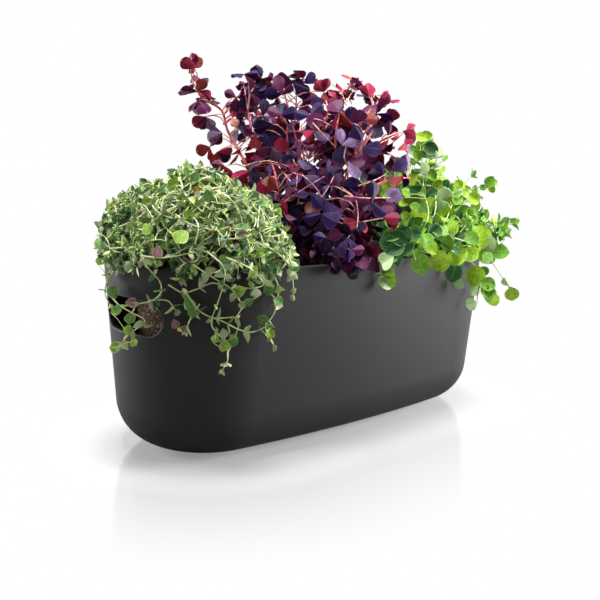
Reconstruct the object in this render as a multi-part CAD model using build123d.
from build123d import *
import os
from math import acos, cos, pi, radians, sin, sqrt, tan

# Indoor herb planter: an oval tub, a platform over a water reserve, and three potted herbs.
# Millimetres, +Z up. The origin is the centre of the footprint, on the surface it stands on.
# +X runs along the tub, with the thyme at the -X end, and the front face looks along -Y.

# Tub
shell_length = 390.0
shell_width = 172.0
shell_height = 150.0
shell_wall = 4.0
shell_floor = 5.0
side_bow = 6.0  # how far each long side swells past the width across the round ends
wall_lean = 4.6  # degrees from upright
base_edge_radius = 38.0
rim_round_share = 0.45  # of the wall, so that inner and outer rounding leave a thin flat

# Hand holes, one in each end
hole_width = 72.0
hole_height = 26.5
hole_drop = 38.5  # from the rim down to the middle of the hole
hole_edge_round = 1.2

# Ring under the tub
ring_proud = 1.0
ring_groove = 1.5
ring_width = 6.0
ring_inset = 5.0  # from the edge of the flat underside
ring_clearance = 0.15

# Platform that holds the pots above the water
reserve_depth = 32.0
platform_thickness = 3.0
platform_clearance = 1.2  # to the tub's wall, all round
platform_lip_height = 5.0
platform_lip_width = 2.0
leg_radius = 6.0
leg_rows_share = (-0.6, 0.6)  # of the half width of the tub's flat floor
leg_columns_share = (-0.84, -0.28, 0.28, 0.84)  # of the pitch of the pots
seat_ring_height = 6.0
seat_ring_width = 2.5
seat_ring_clearance = 1.2
drain_hole_radius = 2.5
drain_hole_count = 8
drain_circle_share = 0.7  # of the pot's base radius
pull_tab_width = 30.0
pull_tab_height = 28.0
pull_tab_thickness = 3.0
pull_tab_inset = 3.5

# Fibre pots, all alike, that fill the tub from end to end
pot_names = ("thyme", "oxalis", "oregano")
pot_end_gap = 15.0
pot_gap = 12.0
pot_rim_setback = 9.0  # below the tub's rim
pot_base_share = 0.79  # of the rim's radius
pot_wall = 2.6
pot_floor = 3.0
pot_rim_width = 2.0
pot_rim_height = 6.0
soil_setback = 7.0  # below the pot's rim

# Felt wicks: a disc under the root ball with a tongue down to the water
wick_thickness = 2.0
wick_width = 20.0
wick_floor_gap = 5.0
wick_slot_clearance = 0.8
wick_disc_clearance = 0.4

# Leaves start just over the rim, and each plant keeps to its own upright column,
# so that every pot lifts straight out past its neighbours
crown_lift = 1.5
column_gap = 2.0
column_pot_clearance = 0.9
column_bend_share = 0.73  # of the pot's radius, where the oregano's column steps forward
column_front_share = (-0.12, 1.03)  # of the pitch and of the half width
column_reach_share = (-0.3, 1.45)
column_height = 260.0
clump_sides = 10
clump_bands = 6

# A lump is x, y, z and radius, as shares of the plant's spread, spread, height and spread.
# z counts from the tub's rim, x and y from the middle of the pot. A spread share is of the
# pot's rim radius.
thyme_spread_share = 1.47
thyme_height = 72.0
thyme_lump_shares = (
    (-0.05, 0.00, 0.10, 0.50),
    (-0.02, 0.00, 0.47, 0.48),
    (-0.42, 0.30, 0.31, 0.43),
    (-0.50, -0.20, 0.28, 0.40),
    (-0.18, -0.56, 0.28, 0.45),
    (0.20, -0.42, 0.31, 0.38),
    (-0.08, 0.55, 0.31, 0.43),
    (-0.38, 0.62, 0.17, 0.33),
    (-0.48, -0.62, 0.17, 0.34),
    (0.22, 0.28, 0.39, 0.35),
    (0.36, -0.06, 0.36, 0.33),
    (-0.72, 0.15, 0.11, 0.29),
    (-0.72, -0.38, 0.11, 0.27),
    (0.02, -0.92, 0.14, 0.28),
    (-0.35, -0.92, 0.12, 0.27),
)

oxalis_spread_share = 1.654
oxalis_height = 165.0
oxalis_lump_shares = (
    (0.00, 0.00, 0.10, 0.48),
    (-0.14, -0.52, 0.10, 0.36),
    (0.08, 0.52, 0.12, 0.40),
    (0.00, 0.00, 0.36, 0.56),
    (-0.22, 0.33, 0.58, 0.44),
    (0.25, 0.00, 0.67, 0.42),
    (0.00, -0.38, 0.55, 0.44),
    (-0.46, 0.23, 0.36, 0.40),
    (0.34, -0.31, 0.48, 0.36),
    (-0.48, -0.44, 0.24, 0.36),
    (-0.11, -0.73, 0.26, 0.34),
    (0.34, 0.38, 0.54, 0.40),
    (0.12, 0.66, 0.42, 0.38),
    (-0.34, 0.77, 0.60, 0.34),
    (-0.70, 0.88, 0.73, 0.27),
    (-0.82, 0.95, 0.88, 0.19),
    (-0.34, 0.45, 0.84, 0.25),
    (0.44, -0.40, 0.72, 0.25),
    (0.00, 0.22, 0.84, 0.27),
    (0.44, 0.11, 0.80, 0.25),
    (-0.40, -0.80, 0.10, 0.26),
)

oregano_spread_share = 1.47
oregano_height = 95.0
oregano_lump_shares = (
    (0.05, 0.00, 0.12, 0.52),
    (0.08, 0.00, 0.42, 0.52),
    (-0.40, 0.05, 0.20, 0.36),
    (0.12, -0.45, 0.30, 0.45),
    (0.45, -0.25, 0.32, 0.45),
    (0.55, 0.25, 0.27, 0.40),
    (0.12, 0.52, 0.27, 0.40),
    (-0.22, 0.50, 0.14, 0.34),
    (0.70, -0.58, 0.15, 0.33),
    (-0.14, -0.62, 0.17, 0.35),
    (-0.15, -0.85, 0.12, 0.30),
    (-0.45, -0.82, 0.12, 0.27),
    (-0.75, -0.97, 0.10, 0.23),
    (-1.00, -1.04, 0.09, 0.20),
    (-1.24, -1.08, 0.08, 0.18),
    (0.18, -0.18, 0.78, 0.24),
    (0.38, -0.55, 0.53, 0.26),
    (0.80, -0.10, 0.15, 0.30),
    (0.30, -0.92, 0.12, 0.28),
    (0.80, -0.75, 0.12, 0.26),
)

# A trailing sprig hangs upright in front of the rim, a thin stem with whorls of leaves.
# Its shares are its x, of the tub's half length, and its length, of the tub's height.
sprig_rim_clearance = 1.0
sprig_pitch_share = 2.6  # from whorl to whorl, of the whorl's radius
overhang_share = 2.0  # radius of the clump that each sprig hangs from, of the whorl's radius
thyme_sprig_stem_radius = 0.9
thyme_whorl_radius = 4.5
thyme_sprig_shares = ((-0.88, 0.20), (-0.79, 0.34), (-0.71, 0.52), (-0.63, 0.32), (-0.57, 0.22))
oxalis_droop_stem_radius = 1.2
oxalis_whorl_radius = 9.0
oxalis_droop_shares = ((-0.26, 0.14), (-0.14, 0.22))
oregano_sprig_stem_radius = 1.2
oregano_whorl_radius = 7.5
oregano_sprig_shares = ((0.02, 0.15), (0.30, 0.12), (0.54, 0.16), (0.86, 0.28))

# Stems, from the soil to the leaves. A circle share is of the pot's rim radius, at each end.
stem_tip_share = 0.7  # of the foot's radius
thyme_stem_radius = 1.2
thyme_stem_count = 10
thyme_stem_circle_share = (0.25, 0.55)
oxalis_stem_radius = 2.6
oxalis_stem_count = 9
oxalis_stem_circle_share = (0.28, 0.58)
oregano_stem_radius = 1.6
oregano_stem_count = 8
oregano_stem_circle_share = (0.25, 0.52)

# Levels and sizes worked out from the sizes above
lean = tan(radians(wall_lean))
floor_top = ring_proud + shell_floor
platform_under = floor_top + reserve_depth
platform_top = platform_under + platform_thickness
pot_rim_level = shell_height - pot_rim_setback
crown_base = shell_height + crown_lift


def wall_depth(level):
    """How far the outer wall has drawn in at a level, against the rim."""
    return (shell_height - level) * lean


inner_length = shell_length - 2 * (shell_wall + wall_depth(pot_rim_level))
pot_rim_radius = (inner_length - 2 * pot_end_gap - (len(pot_names) - 1) * pot_gap) / 2 / len(pot_names)
pot_pitch = 2 * pot_rim_radius + pot_gap
pot_base_radius = pot_rim_radius * pot_base_share
pot_bore_radius = pot_base_radius - pot_wall
pot_mouth_radius = pot_rim_radius - pot_rim_width - pot_wall
soil_level = pot_rim_level - soil_setback
pot_centres = {name: (index - 1) * pot_pitch for index, name in enumerate(pot_names)}


def oval(depth, level):
    """The tub's outline drawn in by a depth: two end arcs and two long arcs, all tangent."""
    half_length = shell_length / 2 - depth
    half_width = shell_width / 2 - depth
    end_radius = half_width - side_bow
    end_centre = half_length - end_radius
    side_radius = (end_centre**2 + half_width**2 - end_radius**2) / 2 / side_bow
    span = side_radius - end_radius
    join_x = end_centre + end_radius * end_centre / span
    join_y = end_radius * (side_radius - half_width) / span
    back = ThreePointArc((-join_x, join_y), (0, half_width), (join_x, join_y))
    right = ThreePointArc((join_x, join_y), (half_length, 0), (join_x, -join_y))
    front = ThreePointArc((join_x, -join_y), (0, -half_width), (-join_x, -join_y))
    left = ThreePointArc((-join_x, -join_y), (-half_length, 0), (-join_x, join_y))
    return Pos(0, 0, level) * make_face([back, right, front, left])


def front_edge(x, outset):
    """The y of the tub's front outline at the rim, moved outwards, at an x."""
    half_width = shell_width / 2
    end_radius = half_width - side_bow
    end_centre = shell_length / 2 - end_radius
    side_radius = (end_centre**2 + half_width**2 - end_radius**2) / 2 / side_bow
    span = side_radius - end_radius
    if abs(x) < end_centre * (side_radius + outset) / span:
        return side_radius - half_width - sqrt((side_radius + outset) ** 2 - x**2)
    return -sqrt((end_radius + outset) ** 2 - (abs(x) - end_centre) ** 2)


def frustum(start, end, start_radius, end_radius):
    """A round tapered bar from one point to another."""
    run = Vector(*end) - Vector(*start)
    return Solid.make_cone(start_radius, end_radius, run.length, Plane(origin=start, z_dir=run))


def tub_block(depth, low, edge_radius):
    """The leaning solid under an outline at the rim, with its lower edge rounded."""
    block = extrude(oval(depth, shell_height), amount=-(shell_height - low), taper=wall_lean)
    return fillet(block.faces().sort_by(Axis.Z)[0].edges(), edge_radius)


def flat_depth(low, edge_radius):
    """How far the edge of the flat under a rounded lower edge lies inside the rim's outline."""
    return wall_depth(low) + edge_radius / tan(radians((90 + wall_lean) / 2))


def make_shell():
    shell = tub_block(0, ring_proud, base_edge_radius)
    shell -= tub_block(shell_wall, floor_top, base_edge_radius - shell_wall)
    rim_edges = shell.edges().group_by(Axis.Z)[-1]
    shell = fillet(rim_edges, shell_wall * rim_round_share)
    hole_level = shell_height - hole_drop
    hole_face = Plane.YZ * SlotOverall(hole_width, hole_height)
    shell -= Pos(0, 0, hole_level) * extrude(hole_face, amount=shell_length, both=True)
    near_hole = hole_height / 2 + hole_edge_round
    hole_edges = [
        edge
        for edge in shell.edges()
        if abs(edge.center().Z - hole_level) < near_hole
        and abs(edge.center().Y) < hole_width
        and abs(edge.center().X) > shell_length / 2 - shell_wall - 2 * near_hole
        and abs(edge.tangent_at(0).X) < cos(radians(wall_lean))
    ]
    shell = fillet(hole_edges, hole_edge_round)
    return shell - ring_solid(ring_clearance)


def ring_solid(clearance):
    """The ring in the underside, or with a clearance the groove that holds it."""
    middle = flat_depth(ring_proud, base_edge_radius) + ring_inset + ring_width / 2
    outer = middle - ring_width / 2 - clearance
    inner = middle + ring_width / 2 + clearance
    ring = oval(outer, 0) - oval(inner, 0)
    return extrude(ring, amount=ring_proud + ring_groove)


def drain_holes(low, high):
    circle = PolarLocations(pot_base_radius * drain_circle_share, drain_hole_count)
    holes = Sketch() + circle * Circle(drain_hole_radius)
    return Pos(0, 0, low) * extrude(holes, amount=high - low)


def wick_slot(thickness_gap, low, high):
    slot = Rectangle(wick_width + 2 * thickness_gap, wick_thickness + 2 * thickness_gap)
    return Pos(0, 0, low) * extrude(slot, amount=high - low)


def make_insert():
    depth = shell_wall + wall_depth(platform_under) + platform_clearance
    insert = extrude(oval(depth, platform_under), amount=platform_thickness)
    lip = oval(depth, platform_top) - oval(depth + platform_lip_width, platform_top)
    insert += extrude(lip, amount=platform_lip_height)
    floor_edge = shell_wall + flat_depth(floor_top, base_edge_radius - shell_wall)
    floor_half_width = shell_width / 2 - floor_edge
    for column in leg_columns_share:
        for row in leg_rows_share:
            spot = Pos(column * pot_pitch, row * floor_half_width, floor_top)
            insert += spot * extrude(Circle(leg_radius), amount=reserve_depth)
    seat_inner = pot_base_radius + seat_ring_clearance
    seat = Circle(seat_inner + seat_ring_width) - Circle(seat_inner)
    for x in pot_centres.values():
        insert += Pos(x, 0, platform_top) * extrude(seat, amount=seat_ring_height)
        insert -= Pos(x, 0, 0) * wick_slot(wick_slot_clearance, platform_under, platform_top)
        insert -= Pos(x, 0, 0) * drain_holes(platform_under, platform_top)
    tab_x = shell_length / 2 - depth - pull_tab_inset - pull_tab_thickness / 2
    for side in (-1, 1):
        spot = Pos(side * tab_x, 0, platform_top + pull_tab_height / 2)
        tab = spot * Box(pull_tab_thickness, pull_tab_width, pull_tab_height)
        top_corners = tab.edges().filter_by(Axis.X).group_by(Axis.Z)[-1]
        insert += fillet(top_corners, pull_tab_width / 4)
    return insert


def make_pot():
    """One fibre pot at x = 0: a tapered cup with a thicker rim, a wick slot and drain holes."""
    body_top = pot_rim_radius - pot_rim_width
    outline = (
        (0, platform_top),
        (pot_base_radius, platform_top),
        (body_top, pot_rim_level - pot_rim_height),
        (pot_rim_radius, pot_rim_level - pot_rim_height),
        (pot_rim_radius, pot_rim_level),
        (pot_mouth_radius, pot_rim_level),
        (pot_bore_radius, platform_top + pot_floor),
        (0, platform_top + pot_floor),
    )
    cup = revolve(Plane.XZ * make_face(Polyline(*outline, close=True)), Axis.Z)
    cup -= wick_slot(wick_slot_clearance, platform_top, platform_top + pot_floor)
    return cup - drain_holes(platform_top, platform_top + pot_floor)


def make_wick():
    disc = Circle(pot_bore_radius - wick_disc_clearance)
    disc_level = platform_top + pot_floor
    wick = Pos(0, 0, disc_level) * extrude(disc, amount=wick_thickness)
    return wick + wick_slot(0, floor_top + wick_floor_gap, disc_level)


def bore_radius_at(level):
    climb = (level - platform_top - pot_floor) / (pot_rim_level - platform_top - pot_floor)
    return pot_bore_radius + (pot_mouth_radius - pot_bore_radius) * climb


def make_soil():
    low = platform_top + pot_floor + wick_thickness
    height = soil_level - low
    spot = Plane(origin=(0, 0, low))
    return Solid.make_cone(bore_radius_at(low), bore_radius_at(soil_level), height, spot)


def column_outlines():
    """The upright columns that the three plants keep to, as corner points in plan."""
    mid = pot_pitch / 2
    slope = tan(acos((pot_rim_radius + column_pot_clearance) / mid))
    reach = column_reach_share[1] * shell_width / 2
    bend = column_bend_share * pot_rim_radius
    left_parting = ((-mid - slope * reach, -reach), (-mid, 0), (-mid - slope * reach, reach))
    right_parting = (
        (column_reach_share[0] * pot_pitch, -reach),
        (column_front_share[0] * pot_pitch, -column_front_share[1] * shell_width / 2),
        (mid + slope * bend, -bend),
        (mid, 0),
        (mid + slope * reach, reach),
    )
    half_gap = column_gap / 2
    far = shell_length
    thyme = [(x - half_gap, y) for x, y in left_parting] + [(-far, reach), (-far, -reach)]
    oxalis = [(x + half_gap, y) for x, y in left_parting]
    oxalis += [(x - half_gap, y) for x, y in reversed(right_parting)]
    oregano = [(x + half_gap, y) for x, y in right_parting] + [(far, reach), (far, -reach)]
    return {"thyme": thyme, "oxalis": oxalis, "oregano": oregano}


def leaf_clump(radius, turn):
    """A ball of flat facets, which stands for one clump of leaves."""
    bands = []
    for band in range(1, clump_bands):
        tilt = pi * band / clump_bands
        angles = [turn + 2 * pi * (side + band / 2) / clump_sides for side in range(clump_sides)]
        across = radius * sin(tilt)
        bands.append([(across * cos(angle), across * sin(angle), radius * cos(tilt)) for angle in angles])
    corners = []
    for side in range(clump_sides):
        after = (side + 1) % clump_sides
        corners.append(((0, 0, radius), bands[0][side], bands[0][after]))
        corners.append(((0, 0, -radius), bands[-1][after], bands[-1][side]))
        for upper, lower in zip(bands, bands[1:]):
            corners.append((upper[side], lower[side], upper[after]))
            corners.append((upper[after], lower[side], lower[after]))
    return Solid(Shell([Face(Wire.make_polygon(points)) for points in corners]))


def sprig_spots(whorl_radius, shares):
    """The x, y and length of each trailing sprig, just clear of the rim."""
    spots = []
    for x_share, length_share in shares:
        x = x_share * shell_length / 2
        spots.append((x, front_edge(x, sprig_rim_clearance + whorl_radius), length_share * shell_height))
    return spots


def make_foliage(name, spread_share, height, lump_shares, whorl_radius, sprig_shares):
    """A plant's leaf mass: its clumps joined, cut to its column and flat over the rim."""
    spread = spread_share * pot_rim_radius
    clumps = [
        Pos(x * spread + pot_centres[name], y * spread, z * height + shell_height) * leaf_clump(r * spread, turn)
        for turn, (x, y, z, r) in enumerate(lump_shares)
    ]
    overhang = whorl_radius * overhang_share
    for turn, (x, y, _) in enumerate(sprig_spots(whorl_radius, sprig_shares)):
        clumps.append(Pos(x, y + whorl_radius, crown_base + whorl_radius) * leaf_clump(overhang, turn))
    mass = clumps[0].fuse(*clumps[1:])
    column = extrude(make_face(Polyline(*column_outlines()[name], close=True)), amount=column_height)
    return mass & Pos(0, 0, crown_base) * column


def make_sprigs(stem_radius, whorl_radius, shares):
    """Sprigs that hang upright from the leaf mass, each a stem with its whorls."""
    sprigs = []
    for x, y, length in sprig_spots(whorl_radius, shares):
        tip = crown_base - length
        sprig = frustum((x, y, crown_base), (x, y, tip), stem_radius, stem_radius * stem_tip_share)
        whorl_pitch = whorl_radius * sprig_pitch_share
        for index in range(int((length - whorl_radius) / whorl_pitch) + 1):
            sprig += Pos(x, y, tip + index * whorl_pitch) * Sphere(whorl_radius)
        sprigs.append(sprig.solid())
    return Compound(children=sprigs)


def make_ring_of_stems(name, radius, count, circle_share):
    """Stems from the soil up to the flat underside of the leaf mass, leaning outwards."""
    base = (Align.CENTER, Align.CENTER, Align.MIN)
    rise = crown_base - soil_level
    between = Pos(pot_centres[name], 0, soil_level) * Box(shell_length, shell_width, rise, align=base)
    foot, head = (share * pot_rim_radius for share in circle_share)
    overrun = 2 * radius
    lean_out = (head - foot) * overrun / rise
    stems = []
    for index in range(count):
        angle = 2 * pi * (index + 1 / 2) / count
        ends = [
            (pot_centres[name] + reach * cos(angle), reach * sin(angle), level)
            for reach, level in ((foot - lean_out, soil_level - overrun), (head + lean_out, crown_base + overrun))
        ]
        stems.append((frustum(*ends, radius, radius * stem_tip_share) & between).solid())
    return Compound(children=stems)


def write(name, shape):
    export_step(shape, f"parts/{name}.step")
    print(f"{name}: {len(shape.solids())} solid(s), {shape.volume / 1000:.1f} cm3")


os.makedirs("parts", exist_ok=True)
write("planter_shell", make_shell())
write("base_ring", ring_solid(0))
write("pot_insert", make_insert())

pot, wick, soil = make_pot(), make_wick(), make_soil()
for name, x in pot_centres.items():
    write(f"{name}_grow_pot", Pos(x, 0, 0) * pot)
    write(f"{name}_wick", Pos(x, 0, 0) * wick)
    write(f"{name}_soil", Pos(x, 0, 0) * soil)

plants = (
    (
        ("thyme", "thyme_trailing_sprigs"),
        (thyme_stem_radius, thyme_stem_count, thyme_stem_circle_share),
        (thyme_spread_share, thyme_height, thyme_lump_shares),
        (thyme_sprig_stem_radius, thyme_whorl_radius, thyme_sprig_shares),
    ),
    (
        ("oxalis", "oxalis_drooping_leaves"),
        (oxalis_stem_radius, oxalis_stem_count, oxalis_stem_circle_share),
        (oxalis_spread_share, oxalis_height, oxalis_lump_shares),
        (oxalis_droop_stem_radius, oxalis_whorl_radius, oxalis_droop_shares),
    ),
    (
        ("oregano", "oregano_trailing_sprigs"),
        (oregano_stem_radius, oregano_stem_count, oregano_stem_circle_share),
        (oregano_spread_share, oregano_height, oregano_lump_shares),
        (oregano_sprig_stem_radius, oregano_whorl_radius, oregano_sprig_shares),
    ),
)
for (name, sprigs_name), stem_sizes, mass_sizes, sprig_sizes in plants:
    write(f"{name}_stems", make_ring_of_stems(name, *stem_sizes))
    write(f"{name}_foliage", make_foliage(name, *mass_sizes, *sprig_sizes[1:]))
    write(sprigs_name, make_sprigs(*sprig_sizes))
